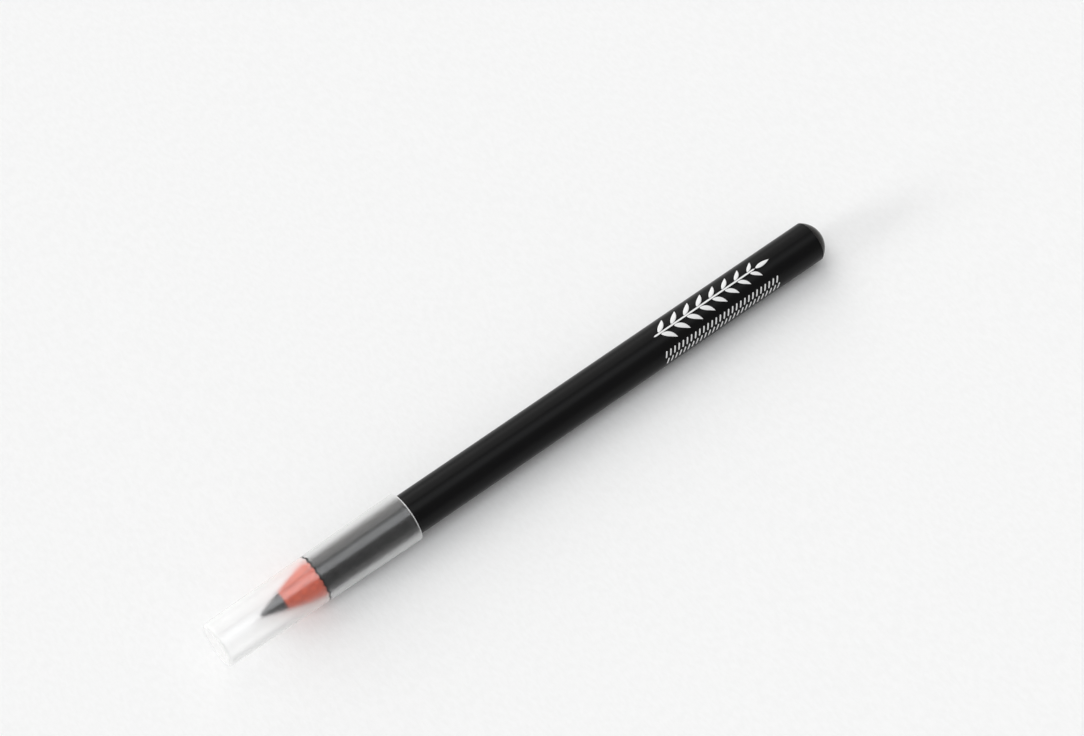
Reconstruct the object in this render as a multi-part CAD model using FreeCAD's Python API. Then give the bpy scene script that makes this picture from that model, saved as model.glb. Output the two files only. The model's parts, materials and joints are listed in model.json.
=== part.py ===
"""A wood-cased eyeliner pencil with its push-on cap, lying on a table. Lengths are in millimetres.

The pencil is built along its own axis: x runs from the tip of the core, at 0, towards the domed back end,
and radius is the distance from the axis. At the end every piece is laid down together, so that the rim of
the cap's mouth and the back edge of the barrel rest on the plane z = 0, with +X pointing to the back end.
"""
import FreeCAD, Part

import math
import os

# The pencil as a whole
pencil_length = 125.0
barrel_radius = 3.95
dome_height = 2.25

# The sharpened point
sharpened_half_angle = 17.7
tip_radius = 0.4

# The core, and the two glued slats that hold it: the seam is turned this far from the top, towards -Y
core_radius = 1.75
glue_film = 0.02
seam_turn = -9.4

# The lacquer on the barrel, and its chipped edge where the sharpener cut through it
lacquer_thickness = 0.12
lacquer_bevel = 0.06
scallop_count = 19
scallop_depth = 0.24
scallop_unevenness = 0.4

# The dipped coat on the back end
dip_thickness = 0.15
dip_set_in = 0.05

# The cap
cap_cover = 19.65
cap_fit_clearance = 0.03
cap_wall = 0.55
cap_draft = 0.72
cap_tip_gap = 8.6
cap_end_wall = 0.55
cap_lip_radius = 0.2
cap_lead_in = 0.15
cap_end_radius = 0.55
cap_floor_bevel = 0.25

# What follows from them
slope = math.tan(math.radians(sharpened_half_angle))
cone_apex = tip_radius - tip_radius / math.sin(math.radians(sharpened_half_angle))
shoulder = cone_apex + barrel_radius / slope
wood_radius = barrel_radius - lacquer_thickness
groove_radius = core_radius + glue_film
dome_edge = pencil_length - dome_height
dome_radius = barrel_radius - dip_set_in
dip_sphere = (dome_radius ** 2 + dome_height ** 2) / (2 * dome_height)
dome_centre = pencil_length - dip_sphere
wood_sphere = dip_sphere - dip_thickness
draft_slope = math.tan(math.radians(cap_draft))
cap_mouth = shoulder + cap_cover
cap_floor = -cap_tip_gap
cap_end = cap_floor - cap_end_wall


def on_cone(radius):
    """Where along the axis the sharpened cone has this radius."""
    return cone_apex + radius / slope


def on_sphere(sphere, radius):
    """Where along the axis a sphere about the dome's centre has this radius."""
    return dome_centre + math.sqrt(sphere ** 2 - radius ** 2)


def cap_bore(x):
    """Radius of the cap's tapered bore: it grips the barrel at the shoulder, and widens towards the mouth."""
    return barrel_radius + cap_fit_clearance + (x - shoulder) * draft_slope


def cap_outside(x):
    """Radius of the cap's outside, which tapers with its bore."""
    return cap_bore(x) + cap_wall


class Outline:
    """Half of a turned piece's section, drawn point by point from (x, radius) pairs."""

    def __init__(self, x, radius):
        self.start = FreeCAD.Vector(x, 0, radius)
        self.here = self.start
        self.curves = []

    def line_to(self, x, radius):
        there = FreeCAD.Vector(x, 0, radius)
        self.curves.append(Part.LineSegment(self.here, there))
        self.here = there

    def arc_to(self, via, end):
        there = FreeCAD.Vector(end[0], 0, end[1])
        self.curves.append(Part.Arc(self.here, FreeCAD.Vector(via[0], 0, via[1]), there))
        self.here = there

    def sphere_to(self, sphere, radius):
        """An arc on a sphere about the dome's centre, from the radius it has reached to the one given."""
        middle = (self.here.z + radius) / 2
        self.arc_to((on_sphere(sphere, middle), middle), (on_sphere(sphere, radius), radius))

    def bevel_corner(self, corner, onward, reach):
        """A line towards a corner, then a bevel that cuts this much off both of its sides."""
        corner = FreeCAD.Vector(corner[0], 0, corner[1])
        start = corner + (self.here - corner).normalize() * reach
        end = corner + (FreeCAD.Vector(onward[0], 0, onward[1]) - corner).normalize() * reach
        self.line_to(start.x, start.z)
        self.line_to(end.x, end.z)

    def round_corner(self, corner, onward, radius):
        """A line towards a corner, then an arc of this radius that turns towards the point onward."""
        corner = FreeCAD.Vector(corner[0], 0, corner[1])
        back = (self.here - corner).normalize()
        ahead = (FreeCAD.Vector(onward[0], 0, onward[1]) - corner).normalize()
        half = back.getAngle(ahead) / 2
        inward = (back + ahead).normalize()
        start = corner + back * (radius / math.tan(half))
        end = corner + ahead * (radius / math.tan(half))
        via = corner + inward * (radius / math.sin(half) - radius)
        self.line_to(start.x, start.z)
        self.arc_to((via.x, via.z), (end.x, end.z))

    def turned(self, begin=0, sweep=360):
        """The solid that the closed outline makes when it turns about the axis, in degrees from the top."""
        self.line_to(self.start.x, self.start.z)
        face = Part.Face(Part.Wire([curve.toShape() for curve in self.curves]))
        axis = FreeCAD.Vector(1, 0, 0)
        face.rotate(FreeCAD.Vector(0, 0, 0), axis, begin)
        return face.revolve(FreeCAD.Vector(0, 0, 0), axis, sweep)


def make_core():
    """The soft kohl core: a rod with a sharpened, slightly blunt point, domed with the wood at the back."""
    angle = math.radians(sharpened_half_angle)
    tangent = (tip_radius - tip_radius * math.sin(angle), tip_radius * math.cos(angle))
    half = math.radians(90 - sharpened_half_angle) / 2
    outline = Outline(0, 0)
    outline.arc_to((tip_radius - tip_radius * math.cos(half), tip_radius * math.sin(half)), tangent)
    outline.line_to(on_cone(core_radius), core_radius)
    outline.line_to(on_sphere(wood_sphere, core_radius), core_radius)
    outline.sphere_to(wood_sphere, 0)
    return outline.turned()


def make_slat(begin):
    """One of the two grooved wooden slats, turned round and sharpened with its partner."""
    outline = Outline(on_cone(groove_radius), groove_radius)
    outline.line_to(on_cone(wood_radius), wood_radius)
    outline.line_to(on_sphere(wood_sphere, wood_radius), wood_radius)
    outline.sphere_to(wood_sphere, groove_radius)
    return outline.turned(begin, 180)


def make_lacquer():
    """The lacquer sleeve, chipped into scallops along the edge where the sharpener cut through it."""
    bevel = min(lacquer_bevel, lacquer_thickness / 2)
    outline = Outline(on_cone(wood_radius), wood_radius)
    outline.line_to(shoulder, barrel_radius)
    outline.bevel_corner((dome_edge, barrel_radius), (dome_edge, wood_radius), bevel)
    outline.line_to(dome_edge, wood_radius)
    return outline.turned().cut(make_scallops())


def make_scallops():
    """Round cutters that point outwards all round the shoulder, each biting a different depth behind it."""
    pitch = 2 * math.pi * barrel_radius / scallop_count
    bite_radius = ((pitch / 2) ** 2 + scallop_depth ** 2) / (2 * scallop_depth)
    cutters = []
    for i in range(scallop_count):
        angle = 2 * math.pi * i / scallop_count
        unevenness = math.sin(2.4 * i) * math.cos(1.1 * i)
        depth = scallop_depth * (1 + scallop_unevenness * unevenness)
        foot = FreeCAD.Vector(shoulder + depth - bite_radius, 0, 0)
        outward = FreeCAD.Vector(0, math.sin(angle), math.cos(angle))
        cutters.append(Part.makeCylinder(bite_radius, 2 * barrel_radius, foot, outward))
    return cutters


def make_dipped_end():
    """The dipped coat: it covers the end grain, runs into the lacquer sleeve and stops just inside its rim."""
    outline = Outline(dome_centre + wood_sphere, 0)
    outline.sphere_to(wood_sphere, wood_radius)
    outline.line_to(dome_edge, wood_radius)
    outline.line_to(dome_edge, dome_radius)
    outline.sphere_to(dip_sphere, 0)
    return outline.turned()


def make_cap():
    """The moulded cap: an even wall round a tapered bore, a flat closed end and a lip with a lead-in."""
    mouth_outside = (cap_mouth, cap_outside(cap_mouth))
    mouth_inside = (cap_mouth, cap_bore(cap_mouth))
    end_outside = (cap_end, cap_outside(cap_end))
    outline = Outline(cap_floor, 0)
    outline.bevel_corner((cap_floor, cap_bore(cap_floor)), mouth_inside, cap_floor_bevel)
    outline.bevel_corner(mouth_inside, mouth_outside, cap_lead_in)
    outline.round_corner(mouth_outside, end_outside, cap_lip_radius)
    outline.round_corner(end_outside, (cap_end, 0), cap_end_radius)
    outline.line_to(cap_end, 0)
    return outline.turned()


def resting_place():
    """The placement that lays the pencil on its cap's lip and on the back edge of its barrel."""
    lip_x = cap_mouth - cap_lip_radius
    lip = cap_outside(lip_x) - cap_lip_radius / math.cos(math.radians(cap_draft))
    edge_x = dome_edge - lacquer_bevel
    span = math.hypot(edge_x - lip_x, lip - barrel_radius)
    tilt = math.atan2(lip - barrel_radius, edge_x - lip_x) + math.asin(cap_lip_radius / span)
    lift = lip_x * math.sin(tilt) + lip * math.cos(tilt) + cap_lip_radius
    end_flat = cap_outside(cap_end) - cap_end_radius
    lowest_x = cap_end * math.cos(tilt) - end_flat * math.sin(tilt)
    highest_x = dome_centre * math.cos(tilt) + dip_sphere
    shift = -(lowest_x + highest_x) / 2
    turn = FreeCAD.Rotation(FreeCAD.Vector(0, 1, 0), math.degrees(tilt))
    return FreeCAD.Placement(FreeCAD.Vector(shift, 0, lift), turn)


def main():
    os.makedirs("parts", exist_ok=True)
    pieces = {
        "kohl_core": make_core(),
        "slat_front": make_slat(seam_turn),
        "slat_rear": make_slat(seam_turn + 180),
        "lacquer_coat": make_lacquer(),
        "dipped_end": make_dipped_end(),
        "cap": make_cap(),
    }
    rest = resting_place()
    for name, shape in pieces.items():
        shape.Placement = rest.multiply(shape.Placement)
        shape.exportStep(f"parts/{name}.step")
        print(name, "valid", shape.isValid(), "solids", len(shape.Solids), "volume", round(shape.Volume, 3))


main()
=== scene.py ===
"""Looks of the eyeliner pencil, in metres: materials, print, floor, light and camera round its solids."""

import json
import math

import bmesh
import bpy
from mathutils import Matrix, Vector


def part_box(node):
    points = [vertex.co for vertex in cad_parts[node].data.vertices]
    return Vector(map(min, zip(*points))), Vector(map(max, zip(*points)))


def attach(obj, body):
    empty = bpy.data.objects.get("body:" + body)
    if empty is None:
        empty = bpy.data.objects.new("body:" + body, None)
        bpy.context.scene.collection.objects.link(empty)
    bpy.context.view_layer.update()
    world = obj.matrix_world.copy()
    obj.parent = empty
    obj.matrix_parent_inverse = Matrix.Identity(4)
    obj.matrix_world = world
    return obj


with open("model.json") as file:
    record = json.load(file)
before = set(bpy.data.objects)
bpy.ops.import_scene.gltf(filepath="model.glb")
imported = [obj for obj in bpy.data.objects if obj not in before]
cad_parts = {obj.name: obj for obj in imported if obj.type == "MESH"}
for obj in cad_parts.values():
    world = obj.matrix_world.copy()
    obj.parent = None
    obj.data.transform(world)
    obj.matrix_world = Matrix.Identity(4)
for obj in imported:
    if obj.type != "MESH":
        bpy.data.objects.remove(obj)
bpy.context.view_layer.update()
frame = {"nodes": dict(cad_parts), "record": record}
nodes = frame["nodes"]
MM = 0.001
WHITE = (1, 1, 1, 1)

# The camera, fitted to the photograph: where it looks, from how far, and which way, in degrees
AIM = Vector((9.93, 9.10, 4.0)) * MM
CAMERA_DISTANCE = 529.6 * MM
CAMERA_HEADING = 52.487
CAMERA_DIP = 62.416

# Its lens and its sensor's width in millimetres, and how near it sees in metres
LENS = 98.14
SENSOR_WIDTH = 36
NEAREST = 0.01

# Each lamp is a round patch of sky: its heading from +X, its angle from straight up, its radius in degrees,
# its brightness beside white paper, and its colour
LAMPS = {
    "overhead_box": (-38, 13.3, 17, 1.75, (0.96, 0.985, 1.0)),
    "overhead_back": (170, 24, 15, 2.0, (0.98, 0.99, 1.0)),
    "left_box": (92, 46, 27, 1.4, (1.0, 0.99, 0.975)),
    "low_box": (75, 78, 16, 1.4, (1.0, 0.99, 0.98)),
    "far_box": (170, 77.5, 9.5, 18, (1.0, 0.995, 0.985)),
}

# The lamps that throw light and shadow but have no mirror image, and how bright the rest of the room is
UNMIRRORED = {"far_box"}
ROOM = 0.40

# The cap's plastic: what is left of the light that is seen through one wall face, of the light that falls
# through it, and its milky colour where it is seen edge on
CLEAR = (0.982, 0.982, 0.982, 1)
DIMMED = (0.974, 0.974, 0.974, 1)
MILK = (0.96, 0.965, 0.96, 1)
PLASTIC_IOR = 1.49

# The milk's share of light from behind, its strength in streaks and seen edge on, where between straight on
# and edge on it sets in, and how much of it counts for the light that it throws on other things
MILK_FROM_BEHIND = 0.25
MILK_IN_STREAKS = 0.024
MILK_EDGE_ON = 0.97
MILK_SETS_IN = (0.150, 0.245)
MILK_THROWN = 0.35

# The finishes, each with its darker and its lighter colour
LACQUER = (0.0033, 0.0033, 0.0038), (0.005, 0.0048, 0.0048)
DIP = (0.008, 0.006, 0.0045), (0.013, 0.010, 0.008)
KOHL = (0.008, 0.0075, 0.008), (0.018, 0.017, 0.018)
CEDAR = (0.44, 0.038, 0.010), (0.78, 0.118, 0.040)
INK = (0.80, 0.80, 0.80), (0.90, 0.90, 0.90)

# The wood's pores and its glued seam: how dark they are, where they fade out in the noise and in millimetres
# from the seam's middle, and how far the seam is turned from the top, towards -Y
PORE_SHADE = 0.62
PORE_FADE = (0.30, 0.48)
GLUE_SHADE = 0.45
GLUE_FADE = (0.03, 0.11)
SEAM_TURN = -9.4

# The floor's colour and how far its tooth shades it, how far it stays flat, how far and how high its cove
# runs, in metres, and how dark the painted shade up the cove gets
PAPER = 0.95
TOOTH_SHADES = (0.985, 1.015)
FLAT_REACH = 20.0
COVE = (10.0, 4.5)
COVE_PAINTED_SHADE = 0.5
COVE_STEPS = 12
FLOOR_SIDES = 96

# The print, in millimetres: how far it stays from the barrel's back edge, its length, the height of its ink,
# and the share of that height that is lost towards a stroke's edges
PRINT_GAP = 10.0
PRINT_LENGTH = 26.6
INK_LIFT = 0.012
INK_ROUNDING = 0.3

# The sprig's angle from the top, in degrees, and its stem, in millimetres
SPRIG_TURN = -1.5
STEM_WIDTH = 0.34
STEM_STEPS = 60

# The sprig's leaves: their lean in degrees, their sizes, bow and gap from the stem in millimetres, how far
# those of one side stand back, and how much smaller the last ones are
LEAF_PAIRS = 8
LEAF_LEAN = 42
LEAF_LENGTH = 3.1
LEAF_WIDTH = 0.95
LEAF_BOW = 0.22
LEAF_GAP = 0.12
LEAF_STAGGER = 0.25
LEAF_SHRINK = 0.25
LEAF_STEPS = 22
FIRST_LEAF = 1.2

# The bud at the stem's end: the room kept beyond its length, its gap, and its width as a share of a leaf's
BUD_ROOM = 0.2
BUD_GAP = 0.15
BUD_WIDTH = 0.9

# The rows of dashes: their angles from the top and their lean in degrees, and their sizes in millimetres
BORDER_TURNS = (58, 81)
DASH_LEAN = 24
DASH_PITCH = 0.95
DASH_HEIGHT = 1.3
DASH_WIDTH = 0.3
DASH_STEPS = 12

# The raised rim that the sharpener left on the lacquer's front edge, in millimetres. Its section is squarer
# the lower its roundness is, its width varies, and it lies this share of its half width behind the edge
RIM_HEIGHT = 0.11
RIM_WIDTH = 0.30
RIM_SIDES = 12
RIM_ROUNDNESS = 0.6
RIM_UNEVENNESS = 0.3
RIM_SET_BACK = 0.5

# How near to the barrel's radius the edge's points lie, and how near two points are one, in millimetres
EDGE_TOLERANCE = 0.002
ONE_POINT = 0.0001

# The pencil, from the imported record: the middle of its bare barrel, its direction, and its tip
grip = next(m for m in frame["record"]["mounts"] if m["name"] == "barrel_grip")
barrel = grip["dims"]["r_mm"]
along = Vector(grip["axis"]).normalized()
middle = Vector(grip["pos_m"])
tip = middle + along * ((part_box("kohl_core")[0].x - middle.x) / along.x)
back_edge = (middle - tip).length / MM + grip["dims"]["length_mm"] / 2
sideways = Vector((0, 1, 0))
upward = along.cross(sideways)
to_pencil = Matrix((along, sideways, upward))


def to_axis(point):
    """A point as millimetres along the axis from the tip, its radius, and its angle from the top."""
    x, y, z = to_pencil @ (point - tip) / MM
    return x, math.hypot(y, z), math.atan2(-y, z)


def from_axis(x, radius, angle):
    """The point at these millimetres along the axis and from it, its angle from the top towards -Y."""
    out = upward * math.cos(angle) - sideways * math.sin(angle)
    return tip + (along * x + out * radius) * MM


class Finish:
    """A procedural material round a Principled shader, with the pencil's own coordinates in millimetres."""

    def __init__(self, name, **values):
        self.material = bpy.data.materials.new(name)
        self.material.use_nodes = True
        self.tree = self.material.node_tree
        self.shader = self.tree.nodes["Principled BSDF"]
        for key, value in values.items():
            self.shader.inputs[key.replace("_", " ")].default_value = value

    def node(self, kind, inputs=None, **settings):
        """A new shader node, its inputs linked to other nodes' outputs or set to plain values."""
        made = self.tree.nodes.new("ShaderNode" + kind)
        for key, value in settings.items():
            setattr(made, key, value)
        for key, value in (inputs or {}).items():
            if isinstance(value, bpy.types.NodeSocket):
                self.tree.links.new(value, made.inputs[key])
            else:
                made.inputs[key].default_value = value
        return made

    def mix(self, share, first, second):
        """Two shaders mixed, with this share of the second."""
        return self.node("MixShader", {0: share, 1: first.outputs[0], 2: second.outputs[0]})

    def product(self, first, second):
        """Two values multiplied."""
        return self.node("Math", {0: first, 1: second}, operation="MULTIPLY").outputs[0]

    def scaled(self, vector, scale):
        """A vector or a colour multiplied by another, or by one value."""
        return self.node("VectorMath", {0: vector, 1: scale}, operation="MULTIPLY").outputs[0]

    def to_shader(self, key, socket):
        """Links a node's output to one of the Principled shader's inputs."""
        self.tree.links.new(socket, self.shader.inputs[key])

    def place(self, scale=(1, 1, 1)):
        """Coordinates along and across the pencil, in millimetres from its tip, times a scale."""
        where = self.node("TexCoord").outputs["Object"]
        turned = self.node("Mapping", {
            "Vector": where,
            "Location": -(to_pencil @ tip) / MM,
            "Rotation": to_pencil.to_euler(),
            "Scale": (1 / MM, 1 / MM, 1 / MM),
        }).outputs[0]
        return self.scaled(turned, scale)

    def noise(self, scale, detail=3.0, roughness=0.5, squeeze=(1, 1, 1)):
        """Noise that is finer the larger its scale is, and squeezed along and across the pencil."""
        return self.node("TexNoise", {
            "Vector": self.place(squeeze),
            "Scale": scale,
            "Detail": detail,
            "Roughness": roughness,
        }).outputs[0]

    def blend(self, factor, dark, light):
        """A colour that goes from one to the other with the factor."""
        mix = self.node("Mix", {"Factor": factor}, data_type="RGBA")
        mix.inputs["A"].default_value = (*dark, 1)
        mix.inputs["B"].default_value = (*light, 1)
        return mix.outputs["Result"]

    def between(self, value, low, high, start=0.0, end=1.0):
        """A value that goes from low to high while another goes from start to end."""
        return self.node("MapRange", {
            "Value": value,
            "From Min": start,
            "From Max": end,
            "To Min": low,
            "To Max": high,
        }).outputs[0]

    def bump(self, height, strength, distance):
        """Gives the Principled shader a relief of this height, in metres."""
        made = self.node("Bump", {"Height": height, "Strength": strength, "Distance": distance})
        self.to_shader("Normal", made.outputs[0])


def lacquer_finish():
    """Satin black lacquer, a little uneven in its sheen."""
    f = Finish("satin_lacquer", Specular_IOR_Level=0.11)
    cloud = f.noise(0.6, squeeze=(0.4, 1, 1))
    f.to_shader("Base Color", f.blend(cloud, *LACQUER))
    f.to_shader("Roughness", f.between(cloud, 0.27, 0.33))
    f.bump(f.noise(7.0), 0.12, 0.01 * MM)
    return f.material


def dip_finish():
    """The dipped end coat, a little browner than the lacquer."""
    f = Finish("dipped_coat", Specular_IOR_Level=0.14)
    cloud = f.noise(1.2)
    f.to_shader("Base Color", f.blend(cloud, *DIP))
    f.to_shader("Roughness", f.between(cloud, 0.20, 0.26))
    f.bump(f.noise(5.0), 0.15, 0.01 * MM)
    return f.material


def kohl_finish():
    """Soft waxy kohl, cut smooth with fine turning marks."""
    f = Finish("waxy_kohl", Specular_IOR_Level=0.8)
    cloud = f.noise(2.5)
    f.to_shader("Base Color", f.blend(cloud, *KOHL))
    f.to_shader("Roughness", f.between(cloud, 0.36, 0.50))
    f.bump(f.noise(3.0, squeeze=(6, 0.4, 0.4)), 0.3, 0.02 * MM)
    return f.material


def cedar_finish():
    """Reddish pencil wood: long grain, fine pores and the dark line of the glued seam."""
    f = Finish("red_cedar", Specular_IOR_Level=0.9)
    grain = f.noise(1.0, detail=6.0, roughness=0.62, squeeze=(0.10, 2.6, 2.6))
    pores = f.noise(1.0, detail=2.0, squeeze=(0.5, 9, 9))
    colour = f.blend(f.between(grain, 0, 1, 0.34, 0.66), *CEDAR)
    pore_shade = f.between(pores, PORE_SHADE, 1.0, *PORE_FADE)
    turn = math.radians(SEAM_TURN)
    off_seam = f.node("VectorMath", {
        0: f.place(),
        1: (0, math.cos(turn), math.sin(turn)),
    }, operation="DOT_PRODUCT").outputs["Value"]
    beside = f.node("Math", {0: off_seam}, operation="ABSOLUTE").outputs[0]
    glue_shade = f.between(beside, GLUE_SHADE, 1.0, *GLUE_FADE)
    f.to_shader("Base Color", f.scaled(colour, f.product(pore_shade, glue_shade)))
    f.to_shader("Roughness", f.between(grain, 0.36, 0.50))
    f.bump(grain, 0.35, 0.03 * MM)
    return f.material


def frosted_finish():
    """Frosted translucent plastic. Its skin mirrors a little and blurs what lies away from the wall, and
    it is milky where a long way through the wall is seen. Light that falls through it is dimmed a little."""
    f = Finish("frosted_plastic")
    streaks = f.noise(1.0, squeeze=(4.0, 0.25, 0.25))
    relief = f.node("Bump", {"Height": streaks, "Strength": 0.5, "Distance": 0.01 * MM}).outputs[0]
    blur = f.between(streaks, 0.30, 0.38, 0.3, 0.7)
    bent = f.node("BsdfRefraction", {
        "Color": CLEAR,
        "Roughness": blur,
        "IOR": PLASTIC_IOR,
        "Normal": relief,
    })
    shine = f.node("BsdfAnisotropic", {"Color": WHITE, "Roughness": 0.2, "Normal": relief})
    mirrored = f.node("Fresnel", {"IOR": PLASTIC_IOR, "Normal": relief}).outputs[0]
    clear = f.mix(mirrored, bent, shine)
    front = f.node("BsdfDiffuse", {"Color": MILK})
    back = f.node("BsdfTranslucent", {"Color": MILK})
    milk = f.mix(MILK_FROM_BEHIND, front, back)
    grazing = f.node("LayerWeight", {"Blend": 0.5}).outputs["Facing"]
    straight_on = f.between(streaks, 0, MILK_IN_STREAKS, 0.35, 0.65)
    depth = f.between(grazing, straight_on, MILK_EDGE_ON, *MILK_SETS_IN)
    depth.node.interpolation_type = "SMOOTHSTEP"
    leaving = f.node("NewGeometry").outputs["Backfacing"]
    path = f.node("LightPath").outputs
    counted = f.between(path["Is Diffuse Ray"], 1, MILK_THROWN)
    milkiness = f.product(f.product(depth, leaving), counted)
    through = f.node("BsdfTransparent", {"Color": DIMMED})
    window = f.mix(path["Is Diffuse Ray"], clear, through)
    cloudy = f.mix(milkiness, window, milk)
    made = f.mix(path["Is Shadow Ray"], cloudy, through)
    f.tree.links.new(made.outputs[0], f.tree.nodes["Material Output"].inputs["Surface"])
    f.tree.nodes.remove(f.shader)
    return f.material


def print_finish():
    """White printing ink."""
    f = Finish("white_ink", Specular_IOR_Level=0.4)
    f.to_shader("Base Color", f.blend(f.noise(9.0), *INK))
    f.to_shader("Roughness", f.between(f.noise(4.0), 0.35, 0.5))
    return f.material


def paper_finish():
    """White matt paper with a faint tooth, for the floor. Far away, up its cove, painted shade darkens it.
    """
    f = Finish("white_paper", Roughness=0.9, Specular_IOR_Level=0.1)
    tooth = f.between(f.noise(1.5, detail=4.0, squeeze=(1, 0.45, 1)), 0, 1, 0.35, 0.65)
    colour = f.blend(tooth, *[[PAPER * shade] * 3 for shade in TOOTH_SHADES])
    where = f.node("TexCoord").outputs["Object"]
    away = f.node("VectorMath", {0: where}, operation="LENGTH").outputs["Value"]
    # Painted shade: the paper's colour is darkened far away, up the cove, to stand for the dimmer far room
    far = f.between(away, 1, COVE_PAINTED_SHADE, FLAT_REACH, FLAT_REACH + COVE[0])
    f.to_shader("Base Color", f.scaled(colour, far))
    f.bump(tooth, 0.2, 0.05 * MM)
    return f.material


def dress(node, material):
    """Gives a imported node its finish."""
    mesh = nodes[node].data
    mesh.materials.clear()
    mesh.materials.append(material)


def add_piece(name, mesh, material):
    """A new object of this mesh, shaded smooth."""
    mesh.shade_smooth()
    mesh.materials.append(material)
    piece = bpy.data.objects.new(name, mesh)
    bpy.context.scene.collection.objects.link(piece)
    return piece


def add_trim(name, build, material):
    """A finished build as a new piece of lacquer trim that rides on the pencil."""
    bmesh.ops.recalc_face_normals(build, faces=build.faces)
    mesh = bpy.data.meshes.new(name)
    build.to_mesh(mesh)
    piece = add_piece(name, mesh, material)
    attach(piece, "pencil")


def closed_loft(build, rings):
    """Skins a row of closed rings of equal length, and returns the rings' vertices."""
    made = [[build.verts.new(point) for point in ring] for ring in rings]
    for ring, after in zip(made, made[1:]):
        for i in range(len(ring)):
            j = (i + 1) % len(ring)
            build.faces.new((ring[i], ring[j], after[j], after[i]))
    return made


def ink_stroke(build, spine, half_width, steps, turn):
    """A raised stroke of ink, wrapped on the barrel. The spine gives places on the unrolled barrel,
    along it and round it from the angle turn, and half_width the stroke's reach, for 0 to 1."""
    across = (-1, -0.5, 0, 0.5, 1)
    nearby = 0.01
    rings = []
    for i in range(steps + 1):
        here = Vector(spine(i / steps))
        ahead = Vector(spine(min(1, i / steps + nearby))) - Vector(spine(max(0, i / steps - nearby)))
        aside = Vector((-ahead.y, ahead.x)).normalized() * half_width(i / steps)
        ring = []
        for lift, order in ((INK_LIFT, across), (-INK_LIFT, across[::-1])):
            for part in order:
                place = here + aside * part
                height = barrel + lift * (1 - INK_ROUNDING * part * part)
                ring.append(from_axis(place.x, height, turn + place.y / barrel))
        rings.append(ring)
    made = closed_loft(build, rings)
    build.faces.new(made[0][::-1])
    build.faces.new(made[-1])


def rounded(half, length):
    """A stroke's half width with round ends, for a stroke of this length."""
    blunt = 0.03
    return lambda k: half * math.sqrt(max(blunt, 1 - max(0, 1 - min(k, 1 - k) * length / half) ** 2))


def leaf(half):
    """A leaf's half width: pointed at both ends, widest before its middle."""
    blunt = 0.04
    return lambda k: half * max(blunt, math.sin(math.pi * k ** 0.8) ** 0.85)


def add_sprig(build):
    """The large mark: a sprig of paired leaves on one stem, growing towards the back end."""
    start = back_edge - PRINT_GAP - PRINT_LENGTH
    turn = math.radians(SPRIG_TURN)
    stem_length = PRINT_LENGTH - LEAF_LENGTH - BUD_ROOM
    stem = rounded(STEM_WIDTH / 2, stem_length)
    ink_stroke(build, lambda k: (start + k * stem_length, 0), stem, STEM_STEPS, turn)
    last_leaf = stem_length - LEAF_LENGTH / 2
    for i in range(LEAF_PAIRS):
        share = i / (LEAF_PAIRS - 1)
        root = start + FIRST_LEAF + (last_leaf - FIRST_LEAF) * share
        size = 1 - LEAF_SHRINK * share ** 2
        for side in (-1, 1):
            lean = math.radians(LEAF_LEAN) * side
            step = Vector((math.cos(lean), math.sin(lean)))
            foot = Vector((root + LEAF_STAGGER * (side > 0), side * (STEM_WIDTH / 2 + LEAF_GAP)))
            bow = Vector((-step.y, step.x)) * side * LEAF_BOW

            def spine(k, foot=foot, step=step, bow=bow, size=size):
                return foot + (step * k * LEAF_LENGTH - bow * math.sin(math.pi * k)) * size

            ink_stroke(build, spine, leaf(LEAF_WIDTH / 2 * size), LEAF_STEPS, turn)
    bud = start + stem_length + BUD_GAP
    bud_width = leaf(LEAF_WIDTH / 2 * BUD_WIDTH)
    ink_stroke(build, lambda k: (bud + k * LEAF_LENGTH, 0), bud_width, LEAF_STEPS, turn)


def add_borders(build):
    """The small marks: two rows of short slanted dashes beside the sprig."""
    start = back_edge - PRINT_GAP - PRINT_LENGTH
    lean = math.tan(math.radians(DASH_LEAN)) * DASH_HEIGHT
    for turn in BORDER_TURNS:
        for i in range(int((PRINT_LENGTH - lean) / DASH_PITCH) + 1):
            foot = start + i * DASH_PITCH

            def spine(k, foot=foot):
                return foot + lean * k, DASH_HEIGHT * (0.5 - k)

            ink_stroke(build, spine, rounded(DASH_WIDTH / 2, DASH_HEIGHT), DASH_STEPS, math.radians(turn))


def add_print(name, draw):
    """One printed mark as a thin raised piece on the lacquer."""
    build = bmesh.new()
    draw(build)
    add_trim(name, build, print_finish())


def rim_section():
    """The points round the rim's section, a circle of radius 1 that is drawn out towards a square."""
    section = []
    for k in range(RIM_SIDES):
        turn = 2 * math.pi * k / RIM_SIDES
        pair = math.cos(turn), math.sin(turn)
        section.append([math.copysign(abs(part) ** RIM_ROUNDNESS, part) for part in pair])
    return section


def add_rim():
    """The dark raised rim along the lacquer's chipped front edge, pressed a little into the cap's wall."""
    edge = {}
    for vertex in nodes["lacquer_coat"].data.vertices:
        x, radius, angle = to_axis(vertex.co)
        if radius > barrel - EDGE_TOLERANCE and x < back_edge / 2:
            edge[round(angle, 3)] = x
    section = rim_section()
    rings = []
    for angle, x in sorted(edge.items()):
        reach = RIM_WIDTH / 2 * (1 + RIM_UNEVENNESS * math.sin(5 * angle + 1) * math.sin(3 * angle))
        rings.append([
            from_axis(x + reach * (aside + RIM_SET_BACK), barrel + RIM_HEIGHT * out, angle)
            for aside, out in section
        ])
    build = bmesh.new()
    closed_loft(build, rings + rings[:1])
    bmesh.ops.remove_doubles(build, verts=build.verts, dist=ONE_POINT * MM)
    add_trim("lacquer_rim", build, FINISHES["lacquer_coat"])


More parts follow.
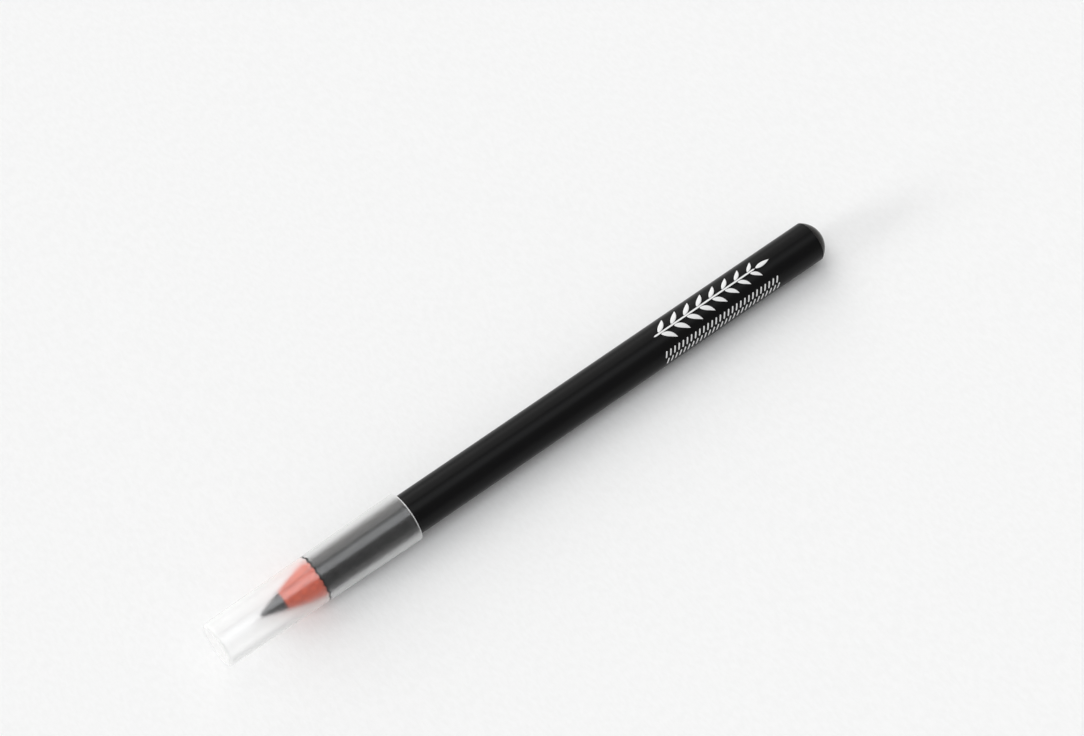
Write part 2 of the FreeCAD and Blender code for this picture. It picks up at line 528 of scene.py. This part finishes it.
def add_floor():
    """A sheet of paper that is flat round the pencil, and far away rises into a low cove."""
    build = bmesh.new()
    bends = [math.pi / 2 * k / COVE_STEPS for k in range(COVE_STEPS + 1)]
    reach = [(FLAT_REACH + COVE[0] * math.sin(b), COVE[1] * (1 - math.cos(b))) for b in bends]
    headings = [2 * math.pi * k / FLOOR_SIDES for k in range(FLOOR_SIDES)]
    rings = [[(r * math.cos(h), r * math.sin(h), z) for h in headings] for r, z in reach]
    made = closed_loft(build, rings[::-1])
    build.faces.new(made[-1])
    mesh = bpy.data.meshes.new("paper_floor")
    build.to_mesh(mesh)
    add_piece("paper_floor", mesh, paper_finish())


def add_lamp(name, heading, from_top, radius, brightness, colour):
    """A lamp as wide as a patch of sky. Its power is what the patch throws on a surface that faces it."""
    lamp = bpy.data.lights.new(name, "SUN")
    lamp.angle = math.radians(2 * radius)
    lamp.energy = brightness * math.pi * math.sin(math.radians(radius)) ** 2
    lamp.color = colour
    made = bpy.data.objects.new(name, lamp)
    bpy.context.scene.collection.objects.link(made)
    made.rotation_euler = (0, math.radians(from_top), math.radians(heading))
    made.visible_glossy = name not in UNMIRRORED
    made.visible_transmission = name not in UNMIRRORED


def add_room():
    """The rest of the room, as an even dim light."""
    world = bpy.data.worlds.new("room")
    bpy.context.scene.world = world
    world.use_nodes = True
    background = world.node_tree.nodes["Background"]
    background.inputs["Color"].default_value = WHITE
    background.inputs["Strength"].default_value = ROOM


def add_camera():
    """The camera, at its distance from the place that it looks at."""
    heading, dip = math.radians(CAMERA_HEADING), math.radians(CAMERA_DIP)
    look = Vector((math.cos(dip) * math.cos(heading), math.cos(dip) * math.sin(heading), -math.sin(dip)))
    data = bpy.data.cameras.new("camera")
    data.lens = LENS
    data.sensor_width = SENSOR_WIDTH
    data.sensor_fit = "HORIZONTAL"
    data.clip_start = NEAREST
    camera = bpy.data.objects.new("camera", data)
    bpy.context.scene.collection.objects.link(camera)
    camera.location = AIM - look * CAMERA_DISTANCE
    camera.rotation_euler = look.to_track_quat("-Z", "Y").to_euler()
    bpy.context.scene.camera = camera


FINISHES = {
    "kohl_core": kohl_finish(),
    "slat_front": cedar_finish(),
    "slat_rear": cedar_finish(),
    "lacquer_coat": lacquer_finish(),
    "dipped_end": dip_finish(),
    "cap": frosted_finish(),
}
for node, material in FINISHES.items():
    dress(node, material)
add_print("printed_sprig", add_sprig)
add_print("printed_borders", add_borders)
add_rim()
add_floor()
add_room()
for name, lamp in LAMPS.items():
    add_lamp(name, *lamp)
add_camera()
bpy.context.scene.view_settings.view_transform = "Standard"
